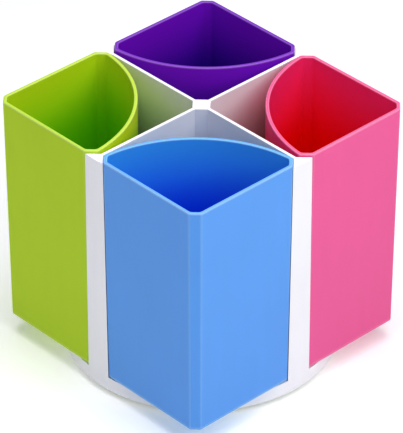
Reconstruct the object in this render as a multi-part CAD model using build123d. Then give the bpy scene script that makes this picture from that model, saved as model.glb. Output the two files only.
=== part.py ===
"""Rotating desk organizer: four lift-out cups round a cross-shaped divider on a ball-bearing turntable.

Millimetres, +Z up. The origin is on the desk, under the centre post. The cross's arms lie along X and Y,
so each cup stands in one quadrant. A cup is drawn in the +X +Y quadrant and turned into its place.
"""
from build123d import *
import math
import os

# ---- overall sizes ----
HALF_SIDE = 75.0            # half the square that the cups' outer walls make at the rim
RIM_Z = 148.0               # top of the cups
DECK_TOP = 12.0             # the face that the cups stand on
CUP_GAP = 0.2               # seating clearance between a cup and the deck

# ---- cups ----
CUP_BOTTOM = DECK_TOP + CUP_GAP
CUP_WALL = 2.0
CUP_FLOOR = 2.4
CUP_DRAFT = 0.35            # degrees, every wall leans in towards the floor
CUP_END = 7.35              # distance from an arm's centre plane to the end of a cup's outer wall
CUP_CORNER_LEG = 4.6        # leg of the flat that cuts the outer corner
CUP_ARC_RADIUS = 73.0       # curved inner wall, centred on the square's corner
CUP_OUTER_ROUND = 2.4       # at the rim; the draft makes it smaller further down
CUP_INNER_ROUND = 1.7
CUP_RIM_ROUND = 0.6
CUP_FOOT_ROUND = 1.2        # lower outside edge
CUP_FLOOR_ROUND = 0.6       # inside, round the floor

# ---- divider frame: cross, side strips and round deck in one moulding ----
ARM_TOP = RIM_Z - 1.35
ARM_HALF_TOP = 0.95         # half the thickness of an arm at its top
ARM_DRAFT = CUP_DRAFT       # degrees, the arms and strips thicken towards the deck as the cups narrow
STRIP_GAP = 0.2             # between a strip's 45 degree flank and the flat end of a cup
STRIP_MARGIN = 2.0          # drawn past the deck's radius, then trimmed to it
POST_HALF = 4.7             # centre post: a square turned 45 degrees, half its width
ARM_EDGE_ROUND = 0.35
DECK_RADIUS = HALF_SIDE
DECK_THICK = 2.2
SKIRT_BOTTOM = 2.1
SKIRT_THICK = 2.2
SKIRT_ROUND = 3.7           # the skirt tucks in under the deck with this radius
DECK_UNDER = DECK_TOP - DECK_THICK

# ---- screw bosses, which also locate the cups ----
SCREW_CIRCLE = 49.0
LOCATOR_RADIUS = 8.0
LOCATOR_HEIGHT = 1.8
LOCATOR_GAP = 0.3
UNDER_BOSS_RADIUS = 4.5
HUB_BOSS_RADIUS = 9.0

# ---- ball bearing ----
BALL_RADIUS = 1.75
BALL_COUNT = 16
TRACK_CIRCLE = 62.0
TRACK_RADIUS = 1.9
TRACK_DEPTH = 0.6
BALL_PLAY = 0.02
CAGE_HALF_WIDTH = 3.5
CAGE_THICK = 1.2
CAGE_HOLE_RADIUS = 1.9

# ---- foot plate and pads ----
PAD_RADIUS = 7.0
PAD_THICK = 1.6
PAD_RECESS = 0.6
PAD_CIRCLE = 56.0
PAD_PLAY = 0.15
FOOT_BOTTOM = PAD_THICK - PAD_RECESS
FOOT_RADIUS = 69.5
FOOT_TOP = 3.6
FOOT_EDGE_ROUND = 0.6

BALL_Z = FOOT_TOP - TRACK_DEPTH + BALL_RADIUS + BALL_PLAY
PLATE_RADIUS = 68.0
PLATE_BOTTOM = BALL_Z + BALL_RADIUS + BALL_PLAY - TRACK_DEPTH
PLATE_THICK = 2.0
PLATE_TOP = PLATE_BOTTOM + PLATE_THICK

# ---- pivot ----
HUB_RADIUS = 15.0
HUB_TOP = PLATE_BOTTOM - 0.5
HUB_THICK = 2.0
POCKET_RADIUS = 11.0
POCKET_TOP = HUB_TOP - HUB_THICK
SLEEVE_RADIUS = 6.0
SLEEVE_PLAY = 0.05
WASHER_RADIUS = 9.5
WASHER_THICK = 1.0
WASHER_PLAY = 0.2
SLEEVE_BOTTOM = POCKET_TOP - WASHER_PLAY
PIVOT_SHANK = 2.0
PIVOT_HEAD_RADIUS = 4.0
PIVOT_HEAD_HEIGHT = 1.1
PIVOT_DEPTH = 12.0          # length of thread above the bearing plate
THREAD_PLAY = 0.02
HOLE_PLAY = 0.2

# ---- plate screws ----
SCREW_SHANK = 1.4
SCREW_HEAD_RADIUS = 2.7
SCREW_HEAD_HEIGHT = 1.4
SCREW_LENGTH = 6.5
DRIVE_DEPTH = 0.8
DRIVE_LONG = 3.0
DRIVE_WIDE = 0.7

QUARTERS = {"pink": 0, "purple": 90, "green": 180, "blue": 270}
ROOT2 = math.sqrt(2)


def turned(shape, degrees):
    """The shape turned about the post."""
    return Rot(0, 0, degrees) * shape


def around(radius, degrees):
    """The point at a distance from the post, in a direction."""
    return radius * math.cos(math.radians(degrees)), radius * math.sin(math.radians(degrees))


def rod(radius, low, high, x=0.0, y=0.0):
    """An upright cylinder between two heights."""
    return Pos(x, y, low) * Cylinder(radius, high - low, align=(Align.CENTER, Align.CENTER, Align.MIN))


def tube(outer, inner, low, high):
    return rod(outer, low, high) - rod(inner, low, high)


# ---- cups ----
def cup_outline(inset, corner_round):
    """A cup's plan at the rim: two straight walls, three 45 degree flats and an arc towards the post."""
    wall = HALF_SIDE - inset
    corner_sum = 2 * HALF_SIDE - CUP_CORNER_LEG - inset * ROOT2
    flat_offset = HALF_SIDE - CUP_END - inset * ROOT2
    arc = CUP_ARC_RADIUS - inset
    reach = (flat_offset - math.sqrt(2 * arc ** 2 - flat_offset ** 2)) / 2
    flat_in = (HALF_SIDE + reach, HALF_SIDE + reach - flat_offset)
    flat_out = (wall, wall - flat_offset)
    corner = (wall, corner_sum - wall)
    apex = HALF_SIDE - arc / ROOT2
    straight = Polyline(flat_in, flat_out, corner, corner[::-1], flat_out[::-1], flat_in[::-1])
    curved = ThreePointArc(flat_in[::-1], (apex, apex), flat_in)
    outline = make_face(straight + curved)
    return fillet(outline.vertices(), corner_round)


def cup_block(inset, corner_round, low, low_round):
    """A drafted solid from the rim down to a level where its edge is rounded."""
    plan = Pos(0, 0, RIM_Z) * cup_outline(inset, corner_round)
    block = extrude(plan, amount=RIM_Z - low, dir=(0, 0, -1), taper=CUP_DRAFT)
    return fillet(block.edges().group_by(Axis.Z)[0], low_round)


def cup():
    """The cup in the +X +Y quadrant, with a raised pad in its floor over the deck's locator."""
    at = around(SCREW_CIRCLE, 45)
    pad_top = CUP_BOTTOM + LOCATOR_HEIGHT + CUP_WALL
    hollow = cup_block(CUP_WALL, CUP_INNER_ROUND, CUP_BOTTOM + CUP_FLOOR, CUP_FLOOR_ROUND)
    hollow -= rod(LOCATOR_RADIUS + CUP_WALL, CUP_BOTTOM, pad_top, *at)
    shell = cup_block(0, CUP_OUTER_ROUND, CUP_BOTTOM, CUP_FOOT_ROUND) - hollow
    shell = fillet(shell.edges().group_by(Axis.Z)[-1], CUP_RIM_ROUND)
    return shell - rod(LOCATOR_RADIUS + LOCATOR_GAP, CUP_BOTTOM, CUP_BOTTOM + LOCATOR_HEIGHT, *at)


# ---- divider frame ----
def cross_outline():
    """Plan of the arms, strips and post at their top, one quadrant after another."""
    flank = HALF_SIDE - CUP_END + STRIP_GAP * ROOT2
    strip_half = HALF_SIDE - flank
    outside = HALF_SIDE + STRIP_MARGIN
    quadrant = [
        (outside, strip_half), (HALF_SIDE, strip_half), (flank + ARM_HALF_TOP, ARM_HALF_TOP),
        (POST_HALF * ROOT2 - ARM_HALF_TOP, ARM_HALF_TOP),
    ]
    points = []
    for k in range(4):
        points += [Vector(x, y).rotate(Axis.Z, 90 * k) for x, y in quadrant]
        points += [Vector(y, x).rotate(Axis.Z, 90 * k) for x, y in reversed(quadrant)]
    return make_face(Polyline(points, close=True))


def deck():
    """The round deck with its tucked-in skirt, turned from its section."""
    straight_z = SKIRT_BOTTOM + SKIRT_ROUND
    centre_r = DECK_RADIUS - SKIRT_ROUND
    inner_round = SKIRT_ROUND - SKIRT_THICK
    inner_r = DECK_RADIUS - SKIRT_THICK
    section = make_face(
        Polyline((centre_r, SKIRT_BOTTOM), (centre_r, SKIRT_BOTTOM + SKIRT_THICK))
        + RadiusArc((centre_r, SKIRT_BOTTOM + SKIRT_THICK), (inner_r, straight_z), -inner_round)
        + Polyline(
            (inner_r, straight_z), (inner_r, DECK_UNDER), (0, DECK_UNDER),
            (0, DECK_TOP), (DECK_RADIUS, DECK_TOP), (DECK_RADIUS, straight_z),
        )
        + RadiusArc((DECK_RADIUS, straight_z), (centre_r, SKIRT_BOTTOM), SKIRT_ROUND)
    )
    return revolve(Plane.XZ * section, Axis.Z)


def divider_frame():
    """Deck, four arms, four strips and the centre post, with the screw bosses underneath."""
    top = Pos(0, 0, ARM_TOP) * cross_outline()
    cross = extrude(top, amount=ARM_TOP - DECK_UNDER, dir=(0, 0, -1), taper=-ARM_DRAFT)
    cross &= rod(DECK_RADIUS, 0, RIM_Z)
    cross = fillet(cross.edges().group_by(Axis.Z)[-1], ARM_EDGE_ROUND)
    frame = deck() + cross + rod(HUB_BOSS_RADIUS, PLATE_TOP, DECK_UNDER)
    for k in range(4):
        at = around(SCREW_CIRCLE, 45 + 90 * k)
        frame += rod(UNDER_BOSS_RADIUS, PLATE_TOP, DECK_UNDER, *at)
        frame += rod(LOCATOR_RADIUS, DECK_TOP, DECK_TOP + LOCATOR_HEIGHT, *at)
    for k in range(4):
        at = around(SCREW_CIRCLE, 45 + 90 * k)
        frame -= rod(SCREW_SHANK + THREAD_PLAY, PLATE_TOP, PLATE_BOTTOM + SCREW_LENGTH + 0.4, *at)
    return frame - rod(PIVOT_SHANK + THREAD_PLAY, PLATE_TOP, PLATE_TOP + PIVOT_DEPTH + 0.5)


# ---- turntable ----
def track_groove(edge_z, side):
    """The ring cut into a plate's face for the balls; side is +1 where the balls lie above the face."""
    centre_z = edge_z + side * (TRACK_RADIUS - TRACK_DEPTH)
    return Pos(0, 0, centre_z) * Torus(TRACK_CIRCLE, TRACK_RADIUS)


def bearing_plate():
    """The upper race, screwed under the deck."""
    plate = rod(PLATE_RADIUS, PLATE_BOTTOM, PLATE_TOP)
    plate = fillet(plate.edges(), FOOT_EDGE_ROUND) - track_groove(PLATE_BOTTOM, -1)
    plate -= rod(PIVOT_SHANK + HOLE_PLAY, PLATE_BOTTOM, PLATE_TOP)
    for k in range(4):
        at = around(SCREW_CIRCLE, 45 + 90 * k)
        plate -= rod(SCREW_SHANK + HOLE_PLAY, PLATE_BOTTOM, PLATE_TOP, *at)
    return plate


def foot_plate():
    """The lower race, which stays still on the desk, with a raised hub over the pivot screw's pocket."""
    plate = fillet(rod(FOOT_RADIUS, FOOT_BOTTOM, FOOT_TOP).edges(), FOOT_EDGE_ROUND)
    plate += rod(HUB_RADIUS, FOOT_BOTTOM, HUB_TOP)
    plate -= rod(POCKET_RADIUS, FOOT_BOTTOM, POCKET_TOP)
    plate -= rod(SLEEVE_RADIUS + SLEEVE_PLAY, POCKET_TOP, HUB_TOP)
    plate -= track_groove(FOOT_TOP, 1)
    for k in range(4):
        at = around(PAD_CIRCLE, 45 + 90 * k)
        plate -= rod(PAD_RADIUS + PAD_PLAY, FOOT_BOTTOM, FOOT_BOTTOM + PAD_RECESS, *at)
    return plate


def foot_pad(number):
    """A round rubber pad with a softened lower edge."""
    pad = rod(PAD_RADIUS, 0, PAD_THICK, *around(PAD_CIRCLE, 45 + 90 * number))
    return fillet(pad.edges().group_by(Axis.Z)[0], 0.3)


def ball_cage():
    """The flat ring that keeps the balls evenly apart."""
    low = BALL_Z - CAGE_THICK / 2
    cage = tube(TRACK_CIRCLE + CAGE_HALF_WIDTH, TRACK_CIRCLE - CAGE_HALF_WIDTH, low, low + CAGE_THICK)
    for k in range(BALL_COUNT):
        cage -= rod(CAGE_HOLE_RADIUS, low, low + CAGE_THICK, *around(TRACK_CIRCLE, 360 * k / BALL_COUNT))
    return cage


def bearing_balls():
    """All the balls, each a separate solid."""
    spots = [around(TRACK_CIRCLE, 360 * k / BALL_COUNT) for k in range(BALL_COUNT)]
    return Compound(children=[Pos(x, y, BALL_Z) * Sphere(BALL_RADIUS) for x, y in spots])


# ---- fasteners ----
def cross_drive(x, y, face_z):
    """A cross-shaped driver recess cut up into a head whose face looks down."""
    bar = Box(DRIVE_LONG, DRIVE_WIDE, DRIVE_DEPTH, align=(Align.CENTER, Align.CENTER, Align.MIN))
    return Pos(x, y, face_z) * (bar + Rot(0, 0, 90) * bar)


def screw(x, y, seat_z, head_radius, head_height, shank_radius, length):
    """A pan-head screw driven up from below, its head under the seat."""
    head = rod(head_radius, seat_z - head_height, seat_z, x, y)
    head = fillet(head.edges().group_by(Axis.Z)[0], head_height * 0.45)
    shank = rod(shank_radius, seat_z, seat_z + length, x, y)
    shank = chamfer(shank.edges().group_by(Axis.Z)[-1], shank_radius * 0.4)
    return head + shank - cross_drive(x, y, seat_z - head_height)


def plate_screw(number):
    x, y = around(SCREW_CIRCLE, 45 + 90 * number)
    return screw(x, y, PLATE_BOTTOM, SCREW_HEAD_RADIUS, SCREW_HEAD_HEIGHT, SCREW_SHANK, SCREW_LENGTH)


def pivot_screw():
    seat = SLEEVE_BOTTOM - WASHER_THICK
    length = PLATE_TOP + PIVOT_DEPTH - seat
    return screw(0, 0, seat, PIVOT_HEAD_RADIUS, PIVOT_HEAD_HEIGHT, PIVOT_SHANK, length)


def pivot_washer():
    """The washer that keeps the foot plate on the pivot."""
    return tube(WASHER_RADIUS, PIVOT_SHANK + HOLE_PLAY, SLEEVE_BOTTOM - WASHER_THICK, SLEEVE_BOTTOM)


def pivot_sleeve():
    """The bush that turns in the foot plate's hub."""
    return tube(SLEEVE_RADIUS, PIVOT_SHANK + HOLE_PLAY, SLEEVE_BOTTOM, PLATE_BOTTOM)


def main():
    parts = {
        "divider_frame": divider_frame(),
        "bearing_plate": bearing_plate(),
        "foot_plate": foot_plate(),
        "ball_cage": ball_cage(),
        "bearing_balls": bearing_balls(),
        "pivot_screw": pivot_screw(),
        "pivot_washer": pivot_washer(),
        "pivot_sleeve": pivot_sleeve(),
    }
    one_cup = cup()
    for colour, degrees in QUARTERS.items():
        parts["cup_" + colour] = turned(one_cup, degrees)
    for number in range(4):
        parts[f"plate_screw_{number + 1}"] = plate_screw(number)
        parts[f"foot_pad_{number + 1}"] = foot_pad(number)
    os.makedirs("parts", exist_ok=True)
    for name, shape in parts.items():
        export_step(shape, f"parts/{name}.step")


main()
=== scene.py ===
"""Looks of the rotating desk organizer: four moulded cups round a white cross on a ball-bearing turntable.

Metres, in the frame's own axes: +Z up from the desk, the cross's arms along X and Y.
"""
import math

import bpy
from mathutils import Matrix, Vector


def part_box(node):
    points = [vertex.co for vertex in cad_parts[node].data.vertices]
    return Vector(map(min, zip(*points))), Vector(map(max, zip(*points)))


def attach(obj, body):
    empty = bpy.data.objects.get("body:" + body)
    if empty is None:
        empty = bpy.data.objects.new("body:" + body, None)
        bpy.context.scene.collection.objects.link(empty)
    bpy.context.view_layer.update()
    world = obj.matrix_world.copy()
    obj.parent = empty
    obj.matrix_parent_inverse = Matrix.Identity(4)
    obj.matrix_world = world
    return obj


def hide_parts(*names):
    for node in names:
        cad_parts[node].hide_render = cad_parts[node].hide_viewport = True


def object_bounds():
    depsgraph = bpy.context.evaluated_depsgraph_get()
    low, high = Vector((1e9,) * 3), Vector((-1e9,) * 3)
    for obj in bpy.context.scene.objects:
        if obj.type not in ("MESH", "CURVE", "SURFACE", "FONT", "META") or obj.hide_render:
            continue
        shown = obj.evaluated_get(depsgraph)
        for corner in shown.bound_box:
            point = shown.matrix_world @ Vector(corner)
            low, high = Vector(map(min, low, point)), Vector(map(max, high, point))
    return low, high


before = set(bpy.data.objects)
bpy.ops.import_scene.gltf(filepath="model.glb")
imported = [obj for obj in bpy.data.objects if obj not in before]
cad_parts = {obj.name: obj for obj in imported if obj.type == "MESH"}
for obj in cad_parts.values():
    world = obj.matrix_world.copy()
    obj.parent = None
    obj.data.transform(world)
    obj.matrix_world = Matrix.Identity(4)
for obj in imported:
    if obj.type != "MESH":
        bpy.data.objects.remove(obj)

CAD_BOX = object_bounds()
MM = 0.001
EIGHTH_TURN = math.radians(45)
ROOT_2 = math.sqrt(2)

# ---- sizes taken from the frame ----
RIM_Z = CAD_BOX[1][2]
HALF_SIDE = CAD_BOX[1][0]
CUP_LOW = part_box("cup_pink")[0].z

# ---- cup sizes ----
CUP_SIZES = {
    "Half Side": HALF_SIDE,         # from the post to an outer wall, at the rim
    "Rim Height": RIM_Z,
    "Foot Height": CUP_LOW,
    "Wall": 2.0 * MM,
    "Floor": 2.4 * MM,
    "Lean": math.tan(math.radians(0.35)),
    "Wall End": 7.35 * MM,          # from an arm's centre plane to the end of an outer wall
    "Corner Leg": 4.6 * MM,
    "Curve Radius": 73.0 * MM,
    "Outer Corner": 2.4 * MM,
    "Inner Corner": 2.7 * MM,
    "Rim Round": 0.6 * MM,
    "Foot Round": 1.2 * MM,
    "Floor Round": 0.9 * MM,
    "Locator Reach": 49.0 * MM,     # from the post to the round pad over the deck's locator
    "Locator Radius": 8.3 * MM,
    "Locator Height": 1.8 * MM,
    "Pad Wall": 2.0 * MM,
}
CUP_TURNS = {"pink": 0, "purple": 90, "green": 180, "blue": 270}


# ---- node trees written as expressions ----
class Socket:
    """An output of a node; arithmetic on it adds Math or Vector Math nodes."""

    def __init__(self, tree, end):
        self.tree = tree
        self.end = end

    def math(self, operation, *terms):
        vector = any(isinstance(t, tuple) or getattr(t, "is_vector", False) for t in terms)
        kind = "ShaderNodeVectorMath" if vector else "ShaderNodeMath"
        return node(self.tree, kind, {"operation": operation}, list(terms))

    @property
    def is_vector(self):
        return self.end.type == "VECTOR"

    def __add__(self, other):
        return self.math("ADD", self, other)

    __radd__ = __add__

    def __sub__(self, other):
        return self.math("SUBTRACT", self, other)

    def __rsub__(self, other):
        return self.math("SUBTRACT", other, self)

    def __mul__(self, other):
        return self.math("MULTIPLY", self, other)

    __rmul__ = __mul__

    def __truediv__(self, other):
        return self.math("DIVIDE", self, other)

    def __rtruediv__(self, other):
        return self.math("DIVIDE", other, self)

    def __pow__(self, other):
        return self.math("POWER", self, other)

    def __lt__(self, other):
        return self.math("LESS_THAN", self, other)

    def __gt__(self, other):
        return self.math("GREATER_THAN", self, other)


def node(tree, kind, settings=None, inputs=None, output=None):
    """Adds a node and returns its output.

    Settings are set first. Inputs are a list in order or a dict by name, of values or links, and a list as a
    value links each of its members.
    """
    made = tree.nodes.new(kind)
    for name, value in (settings or {}).items():
        if name == "items":
            for _ in range(value - len(made.index_switch_items)):
                made.index_switch_items.new()
        else:
            setattr(made, name, value)
    if isinstance(inputs, dict):
        pairs = [(next(s for s in made.inputs if s.name == name and s.enabled), value)
                 for name, value in inputs.items()]
    else:
        pairs = list(zip([s for s in made.inputs if s.enabled], inputs or []))
    for end, value in pairs:
        for one in value if isinstance(value, list) else [value]:
            if isinstance(one, Socket):
                tree.links.new(one.end, end)
            else:
                end.default_value = one
    ends = [s for s in made.outputs if s.enabled]
    if not ends:
        return made
    return Socket(tree, next(s for s in ends if s.name == output) if output else ends[0])


def parts_of(vector):
    """The three components of a vector socket."""
    made = node(vector.tree, "ShaderNodeSeparateXYZ", inputs=[vector]).end.node
    return [Socket(vector.tree, end) for end in made.outputs]


def vector_of(tree, x, y, z):
    return node(tree, "ShaderNodeCombineXYZ", inputs=[x, y, z])


# ---- geometry node helpers ----
SOCKET_TYPES = {float: "NodeSocketFloat", int: "NodeSocketInt"}


def new_tree(name, sizes):
    """A geometry tree with a named input for each size and one for the material."""
    tree = bpy.data.node_groups.new(name, "GeometryNodeTree")
    tree.interface.new_socket("Geometry", in_out="OUTPUT", socket_type="NodeSocketGeometry")
    for label, value in sizes.items():
        tree.interface.new_socket(label, in_out="INPUT", socket_type=SOCKET_TYPES[type(value)])
    tree.interface.new_socket("Material", in_out="INPUT", socket_type="NodeSocketMaterial")
    entry = tree.nodes.new("NodeGroupInput")
    return tree, {end.name: Socket(tree, end) for end in entry.outputs if end.name}


def close_tree(tree, geometry, material):
    """Ends the tree as plain geometry with its material."""
    plain = node(tree, "GeometryNodeRealizeInstances", inputs=[geometry])
    painted = node(tree, "GeometryNodeSetMaterial", inputs={"Geometry": plain, "Material": material})
    tree.links.new(painted.end, tree.nodes.new("NodeGroupOutput").inputs[0])


def join(tree, *shapes):
    return node(tree, "GeometryNodeJoinGeometry", inputs=[list(shapes)])


def store(tree, shape, name, value):
    """Keeps a number on the points of the shape, under a name that materials read."""
    return node(tree, "GeometryNodeStoreNamedAttribute", {"data_type": "FLOAT", "domain": "POINT"},
                {"Geometry": shape, "Name": name, "Value": value})


def polyline(tree, points, rounds, steps):
    """An open curve through the points, with its corners rounded."""
    start = node(tree, "GeometryNodeCurvePrimitiveLine")
    line = node(tree, "GeometryNodeResampleCurve", {"mode": "COUNT"}, {"Curve": start, "Count": len(points)})
    index = node(tree, "GeometryNodeInputIndex")
    where = pick(tree, "VECTOR", index, [vector_of(tree, *p) for p in points])
    line = node(tree, "GeometryNodeSetPosition", inputs={"Geometry": line, "Position": where})
    radius = pick(tree, "FLOAT", index, rounds)
    return node(tree, "GeometryNodeFilletCurve", {"mode": "POLY"},
                {"Curve": line, "Count": steps, "Radius": radius})


def pick(tree, kind, index, choices):
    """One of the choices, by index."""
    settings = {"data_type": kind, "items": len(choices)}
    return node(tree, "GeometryNodeIndexSwitch", settings, [index, *choices])


def place_round(tree, shape, size):
    """Copies of the shape on a circle about the post."""
    index = node(tree, "GeometryNodeInputIndex")
    angle = size["First Angle"] + index * (math.tau / size["Count"])
    reach = size["Circle"]
    where = vector_of(tree, reach * angle.math("COSINE", angle), reach * angle.math("SINE", angle), 0)
    spots = node(tree, "GeometryNodePoints", inputs={"Count": size["Count"], "Position": where})
    return node(tree, "GeometryNodeInstanceOnPoints", inputs={"Points": spots, "Instance": shape})


def raised(tree, shape, height):
    return node(tree, "GeometryNodeTransform",
                inputs={"Geometry": shape, "Translation": vector_of(tree, 0, 0, height)})


def turned_solid(tree, radius, points, rounds):
    """A round solid about the upright axis, from a section given as (radius, up) points, top first."""
    path = node(tree, "GeometryNodeCurvePrimitiveCircle",
                inputs={"Resolution": TURNED_POINTS, "Radius": radius})
    skin = sweep(tree, path, [(reach - radius, z) for reach, z in points], rounds)
    return node(tree, "GeometryNodeMergeByDistance", inputs={"Geometry": skin, "Distance": MERGE})


def grow(name, tree, sizes, material, body):
    """Runs the tree on a new object and returns the plain mesh object it makes, riding on the body."""
    carrier = bpy.data.objects.new(name + "_carrier", bpy.data.meshes.new(name + "_empty"))
    bpy.context.scene.collection.objects.link(carrier)
    modifier = carrier.modifiers.new("shape", "NODES")
    modifier.node_group = tree
    for item in tree.interface.items_tree:
        if item.in_out == "INPUT" and item.name in sizes:
            modifier[item.identifier] = sizes[item.name]
        if item.in_out == "INPUT" and item.name == "Material":
            modifier[item.identifier] = material
    graph = bpy.context.evaluated_depsgraph_get()
    mesh = bpy.data.meshes.new_from_object(carrier.evaluated_get(graph), depsgraph=graph)
    bpy.data.objects.remove(carrier)
    mesh.name = name
    piece = bpy.data.objects.new(name, mesh)
    bpy.context.scene.collection.objects.link(piece)
    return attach(piece, body)


def finish_normals(piece, crease):
    """Smooth shading that follows the larger faces; edges sharper than crease, in degrees, stay sharp."""
    mesh = piece.data
    mesh.shade_smooth()
    mesh.set_sharp_from_angle(angle=math.radians(crease))
    modifier = piece.modifiers.new("normals", "WEIGHTED_NORMAL")
    modifier.keep_sharp = True
    modifier.weight = 100
    graph = bpy.context.evaluated_depsgraph_get()
    finished = bpy.data.meshes.new_from_object(piece.evaluated_get(graph), depsgraph=graph)
    piece.modifiers.remove(modifier)
    piece.data = finished
    finished.name = piece.name


# ---- cups ----
CURVE_POINTS = 73       # along the curved wall
CORNER_STEPS = 7
ROUND_STEPS = 6
PAD_POINTS = 64
TURNED_POINTS = 72
EDGE_BEND = math.radians(3)     # mean bend at a point, from which it counts as on an edge
LAP = 0.2 * MM          # flat strip between a rounded edge and the face it runs into
PAD_ROUND = LAP * 3     # on the upper edge of the pad in a cup's floor
SLIGHT_ROUND = LAP / 2  # where a moulded or rolled edge is nearly sharp
MERGE = 0.002 * MM      # points nearer than this become one
LEVEL_SPAN = MERGE * 5  # points this near to a level count as on it
CREASE = 40             # degrees, edges sharper than this stay sharp


def cup_outline(tree, size, inset, corner, side):
    """A closed curve, the cup's plan at a distance inside its outer face, with its corners rounded."""
    half = size["Half Side"]
    radius = size["Curve Radius"] - inset
    wall = half - inset
    flat = half - size["Wall End"] - inset * ROOT_2
    corner_sum = half * 2 - size["Corner Leg"] - inset * ROOT_2
    span = flat.math("ARCSINE", flat / (radius * ROOT_2))
    index = node(tree, "GeometryNodeInputIndex")
    angle = EIGHTH_TURN * 5 + span * (index * (2 / (CURVE_POINTS - 1)) - 1)
    x = half + radius * angle.math("COSINE", angle)
    y = half + radius * angle.math("SINE", angle)
    corners = [
        (wall, wall - flat), (wall, corner_sum - wall), (corner_sum - wall, wall), (wall - flat, wall),
    ]
    straight = pick(tree, "VECTOR", index - CURVE_POINTS, [vector_of(tree, *c, 0) for c in corners])
    where = node(tree, "GeometryNodeSwitch", {"input_type": "VECTOR"},
                 [index < CURVE_POINTS, straight, vector_of(tree, x, y, 0)])
    ring = node(tree, "GeometryNodeCurvePrimitiveCircle",
                inputs={"Resolution": CURVE_POINTS + len(corners)})
    ring = node(tree, "GeometryNodeSetPosition", inputs={"Geometry": ring, "Position": where})
    ring = store(tree, ring, side, index < CURVE_POINTS if side == "curved" else 1.0)
    at_corner = (index > CURVE_POINTS - 1.5) + (index < 0.5)    # the curve's two ends and all after it
    return node(tree, "GeometryNodeFilletCurve", {"mode": "POLY"},
                {"Curve": ring, "Count": CORNER_STEPS, "Radius": corner * at_corner})


def sweep(tree, path, points, rounds):
    """A surface along a closed path, from a section given as (outward, up) points with rounded corners."""
    section = polyline(tree, [(x, 0 - z, 0) for x, z in points], rounds, ROUND_STEPS)
    return node(tree, "GeometryNodeCurveToMesh", inputs={"Curve": path, "Profile Curve": section})


def cap(tree, shape, level, extra=None, down=False):
    """Flat faces inside the open edges of the shape at a level, leaving out the extra closed curve."""
    height = parts_of(node(tree, "GeometryNodeInputPosition"))[2]
    near = node(tree, "ShaderNodeMath", {"operation": "COMPARE"}, [height, level, LEVEL_SPAN])
    open_edge = node(tree, "GeometryNodeInputMeshEdgeNeighbors") < 1.5      # only one face beside it
    rim = node(tree, "GeometryNodeMeshToCurve", inputs=[shape, near * open_edge])
    loops = join(tree, rim, extra) if extra else rim
    face = node(tree, "GeometryNodeFillCurve", inputs={"Curve": loops})
    face = node(tree, "GeometryNodeTransform",
                inputs={"Geometry": face, "Translation": vector_of(tree, 0, 0, level)})
    return node(tree, "GeometryNodeFlipFaces", inputs=[face]) if down else face


def cup_tree():
    """One cup in the +X +Y quadrant, turned into its own: drafted walls of even thickness round the plan."""
    tree, size = new_tree("moulded_cup", {**CUP_SIZES, "Turn": 0.0})
    rim, low, lean = size["Rim Height"], size["Foot Height"], size["Lean"]
    floor = low + size["Floor"]
    rim_round, foot_round, floor_round = size["Rim Round"], size["Foot Round"], size["Floor Round"]
    outer = cup_outline(tree, size, 0.0, size["Outer Corner"], "curved")
    inner = cup_outline(tree, size, size["Wall"], size["Inner Corner"], "inner")
    foot = 0 - lean * (rim - low)
    root = 0 - lean * (rim - floor)
    below_rim, above_foot = rim_round * 2, foot_round * 2

    def on_wall(drop):
        return 0 - lean * drop, rim - drop

    skin = sweep(
        tree, outer,
        [(0 - rim_round - LAP, rim), (0, rim), on_wall(below_rim), on_wall(rim - low - above_foot),
         (foot, low), (foot - foot_round - LAP, low)],
        [0, rim_round, 0, 0, foot_round, 0])
    lining = sweep(
        tree, inner,
        [(root - floor_round - LAP, floor), (root, floor), on_wall(below_rim), (0, rim),
         (rim_round + LAP, rim)],
        [0, floor_round, 0, rim_round, 0])
    spot = size["Locator Reach"] * math.sqrt(0.5)
    place = vector_of(tree, spot, spot, 0)

    def round_path(radius):
        ring = node(tree, "GeometryNodeCurvePrimitiveCircle",
                    inputs={"Resolution": PAD_POINTS, "Radius": radius})
        return node(tree, "GeometryNodeTransform", inputs={"Geometry": ring, "Translation": place})

    recess_radius = size["Locator Radius"]
    recess_top = low + size["Locator Height"]
    pad_radius = recess_radius + size["Pad Wall"]
    pad_top = recess_top + size["Pad Wall"]
    recess_path, pad_path = round_path(recess_radius), round_path(pad_radius)
    pad = sweep(tree, pad_path, [(0 - pad_radius, pad_top), (0, pad_top), (0, floor)], [0, PAD_ROUND, 0])
    recess = sweep(tree, recess_path,
                   [(0, low), (0, recess_top), (0 - recess_radius, recess_top)], [0, LAP, 0])
    walls = join(tree, skin, lining)
    shell = join(
        tree, walls, pad, recess,
        cap(tree, walls, rim),
        cap(tree, lining, floor, pad_path),
        cap(tree, skin, low, recess_path, down=True),
    )
    shell = node(tree, "GeometryNodeMergeByDistance", inputs={"Geometry": shell, "Distance": MERGE})
    # edge mask, read by the finish for its painted highlight along edges
    bend = node(tree, "GeometryNodeInputMeshEdgeAngle", output="Signed Angle")
    shell = store(tree, shell, "edge", bend * (1 / EDGE_BEND) - 0.5)
    turned = node(tree, "GeometryNodeTransform",
                  inputs={"Geometry": shell, "Rotation": vector_of(tree, 0, 0, size["Turn"])})
    close_tree(tree, turned, size["Material"])
    return tree


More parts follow.
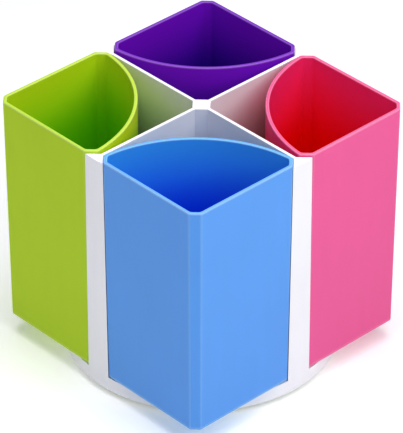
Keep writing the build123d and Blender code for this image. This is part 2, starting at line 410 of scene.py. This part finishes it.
# ---- small parts that repeat ----
BALLS = {"Count": 16, "Circle": 62.0 * MM, "First Angle": 0.0, "Radius": 1.75 * MM, "Height": 4.77 * MM}
PADS = {
    "Count": 4, "Circle": 56.0 * MM, "First Angle": EIGHTH_TURN,
    "Radius": 7.0 * MM, "Thickness": 1.6 * MM, "Groove": 0.3 * MM,
}
PLATE_SCREWS = {
    "Count": 4, "Circle": 49.0 * MM, "First Angle": EIGHTH_TURN, "Seat": 5.94 * MM,
    "Head Radius": 2.7 * MM, "Head Height": 1.4 * MM, "Length": 6.5 * MM, "Thread Radius": 1.4 * MM,
    "Thread Depth": 0.3 * MM, "Pitch": 1.1 * MM, "Drive Long": 3.0 * MM, "Drive Wide": 0.7 * MM,
    "Drive Depth": 0.8 * MM,
}
PIVOT_SCREW = {
    **PLATE_SCREWS, "Count": 1, "Circle": 0.0, "Seat": 2.24 * MM, "Head Radius": 4.0 * MM,
    "Head Height": 1.1 * MM, "Length": 17.7 * MM, "Thread Radius": 2.0 * MM, "Pitch": 1.4 * MM,
}
GROOVES = [(0.20, 0.30), (0.44, 0.54), (0.68, 0.78)]    # start and end of each, as parts of the radius
BALL_DIVISIONS = 4
THREAD_STEPS = 24       # round one turn of a screw's thread
RIDGE_POINTS = 4        # round the section of a thread
HEAD_ROUND = 0.45       # a screw head's rounded edge, as a part of its height
TIP_RADIUS = 0.6        # a screw's flat tip, as a part of its core
TIP_LENGTH = 0.5        # and the slope round it
SCREW_CREASE = 35       # degrees


def ball_tree():
    tree, size = new_tree("ball_ring", BALLS)
    ball = node(tree, "GeometryNodeMeshIcoSphere",
                inputs={"Radius": size["Radius"], "Subdivisions": BALL_DIVISIONS})
    close_tree(tree, raised(tree, place_round(tree, ball, size), size["Height"]), size["Material"])
    return tree


def pad_tree():
    """Round pads with grip rings pressed into their underside."""
    tree, size = new_tree("grip_pads", PADS)
    radius, groove = size["Radius"], size["Groove"]
    section = [(0, size["Thickness"]), (radius, size["Thickness"]), (radius, 0)]
    rounds = [0, LAP, groove]
    for start, end in reversed(GROOVES):
        section += [(radius * end, 0), (radius * end, groove), (radius * start, groove), (radius * start, 0)]
        rounds += [SLIGHT_ROUND, 0, 0, SLIGHT_ROUND]
    pad = turned_solid(tree, radius, section + [(0, 0)], rounds + [0])
    close_tree(tree, place_round(tree, pad, size), size["Material"])
    return tree


def screw_tree(name, sizes):
    """Pan-head screws driven up from below, with a cross-shaped recess and a thread."""
    tree, size = new_tree(name, sizes)
    seat, head, height, length = size["Seat"], size["Head Radius"], size["Head Height"], size["Length"]
    depth, pitch = size["Thread Depth"], size["Pitch"]
    core = size["Thread Radius"] - depth
    lip = head - height * HEAD_ROUND - SLIGHT_ROUND
    body = turned_solid(
        tree, head,
        [(0, length), (core * TIP_RADIUS, length), (core, length - core * TIP_LENGTH), (core, 0),
         (head, 0), (head, 0 - height), (lip, 0 - height)],
        [0, 0, 0, SLIGHT_ROUND, SLIGHT_ROUND, height * HEAD_ROUND, 0])
    body = join(tree, body, cap(tree, body, 0 - height, down=True))
    body = node(tree, "GeometryNodeMergeByDistance", inputs={"Geometry": body, "Distance": MERGE})
    bar_size = vector_of(tree, size["Drive Long"], size["Drive Wide"], size["Drive Depth"] * 2)
    bar = raised(tree, node(tree, "GeometryNodeMeshCube", inputs={"Size": bar_size}), 0 - height)
    across = node(tree, "GeometryNodeTransform",
                  inputs={"Geometry": bar, "Rotation": vector_of(tree, 0, 0, EIGHTH_TURN * 2)})
    for cutter in (bar, across):
        body = node(tree, "GeometryNodeMeshBoolean", {"operation": "DIFFERENCE", "solver": "EXACT"},
                    {"Mesh 1": body, "Mesh 2": cutter})
    turns = (length - pitch * 2) / pitch
    helix = node(tree, "GeometryNodeCurveSpiral",
                 inputs={"Resolution": THREAD_STEPS, "Rotations": turns, "Start Radius": core,
                         "End Radius": core, "Height": turns * pitch})
    helix = node(tree, "GeometryNodeSetCurveNormal", {"mode": "Z_UP"}, {"Curve": helix})
    ridge = node(tree, "GeometryNodeCurvePrimitiveCircle",
                 inputs={"Resolution": RIDGE_POINTS, "Radius": depth})
    thread = node(tree, "GeometryNodeCurveToMesh",
                  inputs={"Curve": helix, "Profile Curve": ridge, "Fill Caps": True})
    screw = raised(tree, join(tree, body, raised(tree, thread, pitch)), seat)
    close_tree(tree, place_round(tree, screw, size), size["Material"])
    return tree


# ---- finishes ----
# how fine each pattern is, in patches per metre
CLOUDS = 22.0
FLOW_LINES = 160.0
HANDLING_MARKS = 420.0
MOULD_GRAIN = 1500.0
RACE_RINGS = 650.0
RACE_CLOUDS = 45.0
PLATING_CLOUDS = 380.0
TOOL_LINES = 1400.0
DULL_SPOTS = 900.0
RUBBER_CLOUDS = 120.0
RUBBER_GRAIN = 2200.0
DUST = 1300.0
FLOW_PULL = 0.12        # draws the flow lines out upwards
LINE_PRESS = 6          # and presses the tool lines flat

# heights over which the painted shade and the painted highlight change, from the rim down
DEEP_REACH = 52 * MM    # inside a cup
CURVE_REACH = 32 * MM   # outside its curved wall
BETWEEN_SHADE_REACH = 42 * MM    # on the white walls between the cups
BETWEEN_SHADE_START = BETWEEN_SHADE_REACH / 5
HIGHLIGHT_REACH = 1.2 * MM   # on the rim
HIGHLIGHT_START = HIGHLIGHT_REACH / 3
BETWEEN_SHADE_FADE = (0.82, 0.9)     # the painted shade fades out between these parts of the half side
TRACK_HALF = 1.6 * MM       # half the width that the balls polish

# gloss, and relief as strength and depth
PLASTIC_GLOSS = 0.25
RUBBER_GLOSS = 0.3
PLASTIC_RELIEF = (0.25, 0.4 * MM)
RACE_RELIEF = (0.2, 0.3 * MM)
STEEL_RELIEF = (0.12, 0.1 * MM)
RUBBER_RELIEF = (0.35, 0.2 * MM)


def opaque(colour, strength=1.0):
    """The colour at a strength, with full alpha."""
    return (*(min(1.0, c * strength) for c in colour), 1)


def finish(name, colour, rough):
    """A new material; returns it with its tree and its shader node."""
    material = bpy.data.materials.new(name)
    material.use_nodes = True
    shader = next(n for n in material.node_tree.nodes if n.type == "BSDF_PRINCIPLED")
    shader.inputs["Base Color"].default_value = opaque(colour)
    shader.inputs["Roughness"].default_value = rough
    return material, material.node_tree, shader


def wear(tree, shader, colour, rough, height, relief):
    """Links the patterned colour, roughness and relief."""
    strength, depth = relief
    bump = node(tree, "ShaderNodeBump", inputs={"Strength": strength, "Distance": depth, "Height": height})
    for name, socket in {"Base Color": colour, "Roughness": rough, "Normal": bump}.items():
        tree.links.new(socket.end, shader.inputs[name])


def noise(tree, where, scale, detail=2.0):
    """Soft random patches, 0 to 1."""
    return node(tree, "ShaderNodeTexNoise", inputs={"Vector": where, "Scale": scale, "Detail": detail})


def blend(tree, factor, low, high):
    """Colours mixed by a factor."""
    return node(tree, "ShaderNodeMix", {"data_type": "RGBA"}, {"Factor": factor, "A": low, "B": high})


def rise(value, low, high):
    """0 below low, 1 above high, smooth between them."""
    return node(value.tree, "ShaderNodeMapRange", {"interpolation_type": "SMOOTHSTEP"},
                {"Value": value, "From Min": low, "From Max": high})


def down_from_rim(z, start, reach):
    """0 down to start under the rim, 1 from reach on, smooth between them."""
    return 1 - rise(z, RIM_Z - reach, RIM_Z - start)


def unsigned(value):
    """The value without its sign."""
    return (value * value) ** 0.5


def attribute(tree, name):
    """A number stored on the mesh's points."""
    return node(tree, "ShaderNodeAttribute", {"attribute_name": name}, output="Fac")


def moulded_plastic(name, colour, rough, grain, pale=None, lining=None, deep_shade=None, shade_between_cups=None):
    """Satin injection-moulded plastic: faint clouding and flow lines, fine grain, handling marks, and a
    painted shade that darkens it towards the bottom.

    Pale is a painted highlight along the rims and edges, made stronger or weaker by the handling marks.
    Lining is painted shade and bounce light on a cup's inner walls and on the outside of its curved wall,
    and the deep colour is the painted shade that they take further down.
    The last colour is a painted shade on the white walls deep between the cups.
    """
    material, tree, shader = finish(name, colour, rough)
    shader.inputs["Specular IOR Level"].default_value = PLASTIC_GLOSS
    where = node(tree, "ShaderNodeTexCoord", output="Object")
    x, y, z = parts_of(where)
    cloud = noise(tree, where, CLOUDS)
    flow = noise(tree, vector_of(tree, x, y, z * FLOW_PULL), FLOW_LINES)
    marks = noise(tree, where, HANDLING_MARKS, 4.0)
    # random tone from the clouding and flow lines, and painted shade: the colour darker towards the bottom
    tone_and_shade = cloud * 0.3 + flow * 0.15 + rise(z, -RIM_Z, RIM_Z * 1.2) * 0.55
    mixed = blend(tree, tone_and_shade, opaque(colour, 0.82), opaque(colour, 1.04))
    # painted shade and bounce light: a cup's inner walls and the outside of its curved wall take the lining
    # colour, and the deep colour further down
    if lining:
        inner, curved = attribute(tree, "inner"), attribute(tree, "curved")
        mixed = blend(tree, inner + curved, mixed, opaque(lining))
        down = inner * down_from_rim(z, 0, DEEP_REACH)
        behind = curved * down_from_rim(z, 0, CURVE_REACH)
        mixed = blend(tree, down + behind * 0.7, mixed, opaque(deep_shade))
    # painted shade: the white walls between the cups darken with depth under the rim, away from the outer
    # strips
    if shade_between_cups:
        reach = (x * x + y * y) ** 0.5
        between = 1 - rise(reach, *(HALF_SIDE * part for part in BETWEEN_SHADE_FADE))
        mixed = blend(tree, between * down_from_rim(z, BETWEEN_SHADE_START, BETWEEN_SHADE_REACH), mixed, opaque(shade_between_cups))
    # painted highlight on the rim and along rounded edges, its strength varied by the handling marks
    if pale:
        rim = rise(z, RIM_Z - HIGHLIGHT_REACH, RIM_Z - HIGHLIGHT_START)
        edge = rise(attribute(tree, "edge"), 0.0, 1.0)
        mixed = blend(tree, (rim * 0.28 + edge * 0.42) * (0.75 + marks * 0.5), mixed, opaque(pale))
    height = noise(tree, where, MOULD_GRAIN, 1.0) * grain + flow * grain * 0.6
    wear(tree, shader, mixed, rough - 0.05 + cloud * 0.06 + marks * 0.05, height, PLASTIC_RELIEF)
    return material


def race_plastic(name, colour, rough):
    """Hard moulded disc: rings of flow about the post, and a polished track where the balls run."""
    material, tree, shader = finish(name, colour, rough)
    where = node(tree, "ShaderNodeTexCoord", output="Object")
    x, y, z = parts_of(where)
    reach = (x * x + y * y) ** 0.5
    rings = noise(tree, vector_of(tree, reach, z, 0), RACE_RINGS, 3.0)
    cloud = noise(tree, where, RACE_CLOUDS, 3.0)
    off_ball = unsigned(z - BALLS["Height"])
    near_balls = 1 - rise(off_ball, BALLS["Radius"] * 1.05, BALLS["Radius"] * 1.2)
    off_track = unsigned(reach - BALLS["Circle"])
    worn = near_balls * (1 - rise(off_track, TRACK_HALF * 0.6, TRACK_HALF))
    mixed = blend(tree, cloud * 0.6 + rings * 0.4, opaque(colour, 0.86), opaque(colour))
    mixed = blend(tree, worn * (0.3 + rings * 0.3), mixed, opaque(colour, 0.7))
    wear(tree, shader, mixed, rough + rings * 0.08 - worn * 0.2, rings * 0.6 + cloud * 0.4, RACE_RELIEF)
    return material


def plated_steel(name, colour, rough):
    """Bright steel: cloudy plating with fine tool lines and a few dull spots."""
    material, tree, shader = finish(name, colour, rough)
    shader.inputs["Metallic"].default_value = 1.0
    where = node(tree, "ShaderNodeTexCoord", output="Object")
    x, y, z = parts_of(where)
    cloud = noise(tree, where, PLATING_CLOUDS, 3.0)
    lines = noise(tree, vector_of(tree, x, y, z * LINE_PRESS), TOOL_LINES, 3.0)
    dull = rise(noise(tree, where, DULL_SPOTS, 4.0), 0.56, 0.7)
    mixed = blend(tree, cloud, opaque(colour, 0.84), opaque(colour))
    mixed = blend(tree, dull * 0.35, mixed, opaque(colour, 0.6))
    wear(tree, shader, mixed, rough + lines * 0.1 + dull * 0.15, lines, STEEL_RELIEF)
    return material


def rubber(name, colour, dust, rough):
    """Matt rubber with mould grain and a little dust caught in it."""
    material, tree, shader = finish(name, colour, rough)
    shader.inputs["Specular IOR Level"].default_value = RUBBER_GLOSS
    where = node(tree, "ShaderNodeTexCoord", output="Object")
    cloud = noise(tree, where, RUBBER_CLOUDS, 3.0)
    grain = noise(tree, where, RUBBER_GRAIN)
    caught = rise(noise(tree, where, DUST, 4.0), 0.5, 0.72) * (0.15 + cloud * 0.3)
    mixed = blend(tree, cloud, opaque(colour), opaque(colour, 1.5))
    mixed = blend(tree, caught, mixed, opaque(dust))
    wear(tree, shader, mixed, rough + grain * 0.1, grain, RUBBER_RELIEF)
    return material


# ---- the cups; colours are for the outside, the painted highlight on the edges, the painted shade and bounce light of the lining, and the painted shade deep inside ----
CUP_COLOURS = {
    "blue": [(0.155, 0.430, 0.900), (0.38, 0.60, 0.86), (0.085, 0.52, 0.99), (0.001, 0.11, 0.96)],
    "green": [(0.540, 0.750, 0.010), (0.62, 0.78, 0.24), (0.680, 0.87, 0.020), (0.240, 0.74, 0.001)],
    "pink": [(0.900, 0.155, 0.385), (0.88, 0.36, 0.50), (0.990, 0.050, 0.25), (0.990, 0.001, 0.001)],
    "purple": [(0.160, 0.010, 0.480), (0.36, 0.19, 0.56), (0.300, 0.012, 0.70), (0.022, 0.001, 0.40)],
}
CUP_TREE = cup_tree()
for quarter, degrees in CUP_TURNS.items():
    outside, pale, lining, deep_shade = CUP_COLOURS[quarter]
    coat = moulded_plastic(quarter + "_moulding", outside, 0.36, 0.5, pale, lining, deep_shade)
    cup = grow(quarter + "_cup_shell", CUP_TREE, {**CUP_SIZES, "Turn": math.radians(degrees)},
               coat, quarter + "_cup")
    finish_normals(cup, CREASE)
    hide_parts("cup_" + quarter)


# ---- the cross, the turntable and its fasteners ----
def paint(material, *names):
    """Gives frame nodes their finish."""
    for name in names:
        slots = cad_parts[name].data.materials
        slots.clear()
        slots.append(material)


# the white walls between the cups darken to a painted shade
paint(moulded_plastic("white_moulding", (0.985, 0.985, 0.99), 0.38, 0.4, shade_between_cups=(0.68, 0.68, 0.70)),
      "divider_frame")
paint(race_plastic("race_moulding", (0.78, 0.78, 0.77), 0.5), "bearing_plate", "foot_plate")
paint(race_plastic("natural_plastic", (0.85, 0.83, 0.76), 0.42), "ball_cage", "pivot_sleeve")
zinc = plated_steel("zinc_plating", (0.62, 0.63, 0.64), 0.34)
paint(zinc, "pivot_washer")

balls = grow("bearing_ball_ring", ball_tree(), BALLS, plated_steel("ball_steel", (0.75, 0.75, 0.76), 0.12),
             "bearing")
balls.data.shade_smooth()
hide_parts("bearing_balls")

pads = grow("grip_pads", pad_tree(), PADS,
            rubber("pad_rubber", (0.035, 0.035, 0.037), (0.20, 0.19, 0.18), 0.75), "base")
finish_normals(pads, CREASE)
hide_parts(*(f"foot_pad_{number}" for number in range(1, 5)))

screws = grow("plate_screws", screw_tree("pan_head_screws", PLATE_SCREWS), PLATE_SCREWS, zinc, "carousel")
finish_normals(screws, SCREW_CREASE)
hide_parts(*(f"plate_screw_{number}" for number in range(1, 5)))

pivot = grow("pivot_bolt", screw_tree("pivot_screw", PIVOT_SCREW), PIVOT_SCREW, zinc, "carousel")
finish_normals(pivot, SCREW_CREASE)
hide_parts("pivot_screw")

# ---- floor, light and camera ----
AIM = Vector((0, 0, 76.2 * MM))
AZIMUTH = 46.75         # degrees
ELEVATION = 34.37
REACH = 1801 * MM
SENSOR = 36.0           # millimetres, as the lens
LENS = 282.8
CONTRAST = 0.8          # below 1 deepens the shadows and leaves white as it is
SKY = (0.80, 0.77, 1.0)
SKY_STRENGTH = 0.30
LIGHTS = {              # azimuth and elevation in degrees, reach and side in metres, watts
    "side_box": (95, 46, 0.8, 0.6, 2.65),
    "left_box": (-5, 35, 0.8, 0.6, 0.42),
    "overhead_box": (40, 86, 1.2, 0.9, 10.4),
}
FLOOR_HALF = 4          # metres
FLOOR_COLOUR = (0.88, 0.88, 0.88)
FLOOR_GLOW = (0.95, 1.0, 0.9)
FLOOR_GLOW_STRENGTH = 0.27


def away(azimuth, elevation, reach):
    """A point at a distance from the aim, angles in degrees, azimuth 0 being towards -Y."""
    azimuth, elevation = math.radians(azimuth), math.radians(elevation)
    flat = math.cos(elevation)
    return AIM + reach * Vector((math.sin(azimuth) * flat, -math.cos(azimuth) * flat, math.sin(elevation)))


def aimed(name, data, where):
    """A lamp or camera, set at a place and turned to the aim."""
    thing = bpy.data.objects.new(name, data)
    bpy.context.scene.collection.objects.link(thing)
    thing.matrix_world = Matrix.LocRotScale(where, (AIM - where).to_track_quat("-Z", "Y"), None)
    return thing


def softbox(name, azimuth, elevation, reach, side, power):
    light = bpy.data.lights.new(name, "AREA")
    light.shape = "RECTANGLE"
    light.size = light.size_y = side
    light.energy = power
    aimed(name, light, away(azimuth, elevation, reach))


def studio():
    world = bpy.data.worlds.new("studio")
    bpy.context.scene.world = world
    world.use_nodes = True
    sky = next(n for n in world.node_tree.nodes if n.type == "BACKGROUND")
    sky.inputs["Color"].default_value = opaque(SKY)
    sky.inputs["Strength"].default_value = SKY_STRENGTH
    for name, values in LIGHTS.items():
        softbox(name, *values)
    bpy.context.scene.view_settings.view_transform = "Standard"
    bpy.context.scene.view_settings.gamma = CONTRAST


def floor():
    """A wide pale sweep that glows a little, as a lit table does."""
    mesh = bpy.data.meshes.new("floor")
    corners = [(x * FLOOR_HALF, y * FLOOR_HALF, 0) for x, y in ((-1, -1), (1, -1), (1, 1), (-1, 1))]
    mesh.from_pydata(corners, [], [(0, 1, 2, 3)])
    plane = bpy.data.objects.new("floor", mesh)
    bpy.context.scene.collection.objects.link(plane)
    material, _, shader = finish("pale_floor", FLOOR_COLOUR, 0.9)
    shader.inputs["Emission Color"].default_value = opaque(FLOOR_GLOW)
    shader.inputs["Emission Strength"].default_value = FLOOR_GLOW_STRENGTH
    mesh.materials.append(material)


def camera():
    data = bpy.data.cameras.new("camera")
    data.sensor_width = SENSOR
    data.lens = LENS
    bpy.context.scene.camera = aimed("camera", data, away(AZIMUTH, ELEVATION, REACH))


studio()
floor()
camera()
